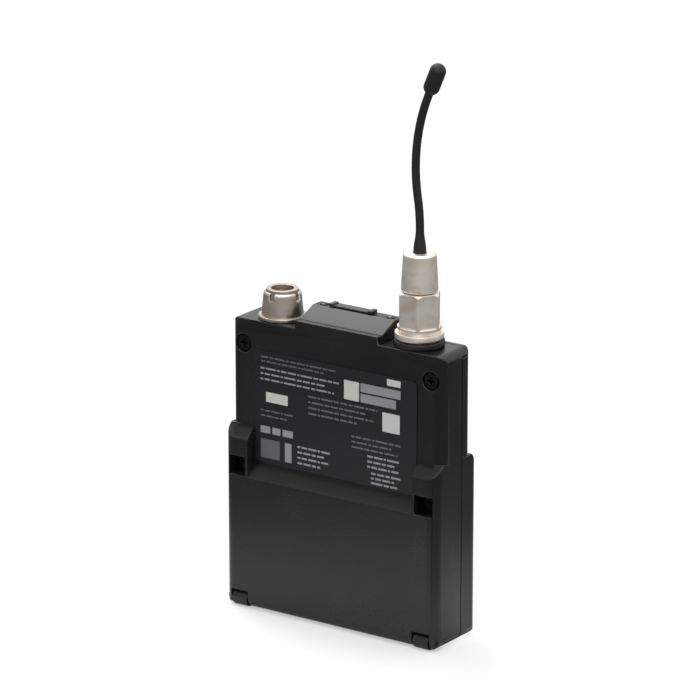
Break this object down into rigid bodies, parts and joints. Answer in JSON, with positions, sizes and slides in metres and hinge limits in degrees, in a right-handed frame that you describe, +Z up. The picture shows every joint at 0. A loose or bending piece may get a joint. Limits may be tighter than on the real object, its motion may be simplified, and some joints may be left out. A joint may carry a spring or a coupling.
{
  "type": "wireless bodypack transmitter",
  "caption": "Black pocket radio transmitter with a hinged battery lid, lid catches, keys, a slide switch, a socket for a microphone plug and a screw-on whip antenna.",
  "frame": {"origin": "middle of the bottom face", "axes": "+X along the label face towards the antenna, +Y from the label face to the display face, +Z up"},
  "size_m": [0.057, 0.0168, 0.1302],
  "materials": {
    "housing": "fine moulded texture",
    "switch_housing": "satin",
    "window": "polished, tinted",
    "panel": "display",
    "ribbon": "flexible film",
    "board": "solder mask",
    "tin": "tinned",
    "component": "moulded",
    "lens": "clear tinted",
    "screw": "black oxide",
    "label": "printed film",
    "steel": "ground",
    "cell": "film sleeve",
    "contact": "nickel plated",
    "spring": "nickel plated",
    "nickel": "satin nickel plated",
    "insert": "moulded",
    "gold": "gold plated",
    "insulator": "turned",
    "rubber": "moulded",
    "foam": "closed cell foam",
    "control": "satin"
  },
  "bodies": {
    "body": {"rear_case": "housing", "front_case": "housing", "switch_housing": "switch_housing", "display_window": "window", "display_panel": "panel", "display_ribbon": "ribbon", "main_board": "board", "rf_shield": "tin", "key_switches": "component", "switch_body": "component", "indicator_lenses": "lens", "case_screws": "screw", "rating_label": "label", "hinge_pins": "steel", "battery_upper": "cell", "battery_lower": "cell", "contact_bridge": "contact", "contact_positive": "contact", "contact_negative": "contact", "contact_springs": "spring", "audio_shell": "nickel", "audio_nut": "nickel", "audio_insert": "insert", "audio_contacts": "gold", "antenna_jack": "gold", "jack_nut": "nickel", "jack_insulator": "insulator", "jack_contact": "gold", "antenna_collar": "rubber"},
    "lid": {"battery_lid": "housing", "lid_pad": "foam", "catch_spring_left": "steel", "catch_spring_right": "steel"},
    "catch_left": {"catch_left": "control"},
    "catch_right": {"catch_right": "control"},
    "power_switch": {"power_switch": "control"},
    "key_minus": {"key_minus": "control"},
    "key_set": {"key_set": "control"},
    "key_plus": {"key_plus": "control"},
    "antenna": {"antenna_ferrule": "nickel", "antenna_whip": "rubber", "antenna_tip": "rubber", "antenna_pin": "gold"},
    "antenna_nut": {"antenna_nut": "nickel"}
  },
  "joints": [
    {"name": "lid_hinge", "type": "hinge", "parent": "body", "child": "lid", "pos_m": [0, -0.00655, 0.00185], "axis": [-1, 0, 0], "range_deg": [0, 100]},
    {"name": "catch_left_slide", "type": "slide", "parent": "lid", "child": "catch_left", "axis": [0, 0, -1], "range_m": [0, 0.002], "stiffness_N_per_m": 100, "deforming": ["catch_spring_left"]},
    {"name": "catch_right_slide", "type": "slide", "parent": "lid", "child": "catch_right", "axis": [0, 0, -1], "range_m": [0, 0.002], "stiffness_N_per_m": 100, "deforming": ["catch_spring_right"]},
    {"name": "power_slide", "type": "slide", "parent": "body", "child": "power_switch", "axis": [1, 0, 0], "range_m": [0, 0.0025]},
    {"name": "key_minus_press", "type": "slide", "parent": "body", "child": "key_minus", "axis": [0, -1, 0], "range_m": [0, 0.0005], "stiffness_N_per_m": 600},
    {"name": "key_set_press", "type": "slide", "parent": "body", "child": "key_set", "axis": [0, -1, 0], "range_m": [0, 0.0005], "stiffness_N_per_m": 600},
    {"name": "key_plus_press", "type": "slide", "parent": "body", "child": "key_plus", "axis": [0, -1, 0], "range_m": [0, 0.0005], "stiffness_N_per_m": 600},
    {"name": "antenna_lift", "type": "slide", "parent": "body", "child": "antenna", "axis": [0, 0, 1], "range_m": [0, 0.0021]},
    {"name": "antenna_turn", "type": "hinge", "parent": "antenna", "child": "antenna_nut", "pos_m": [0.0183, 0.00015, 0.074], "axis": [0, 0, 1], "range_deg": [0, 1081]}
  ],
  "couplings": [
    {"joint": "antenna_turn", "follows": "antenna_lift", "rad_per_m": 8976}
  ]
}
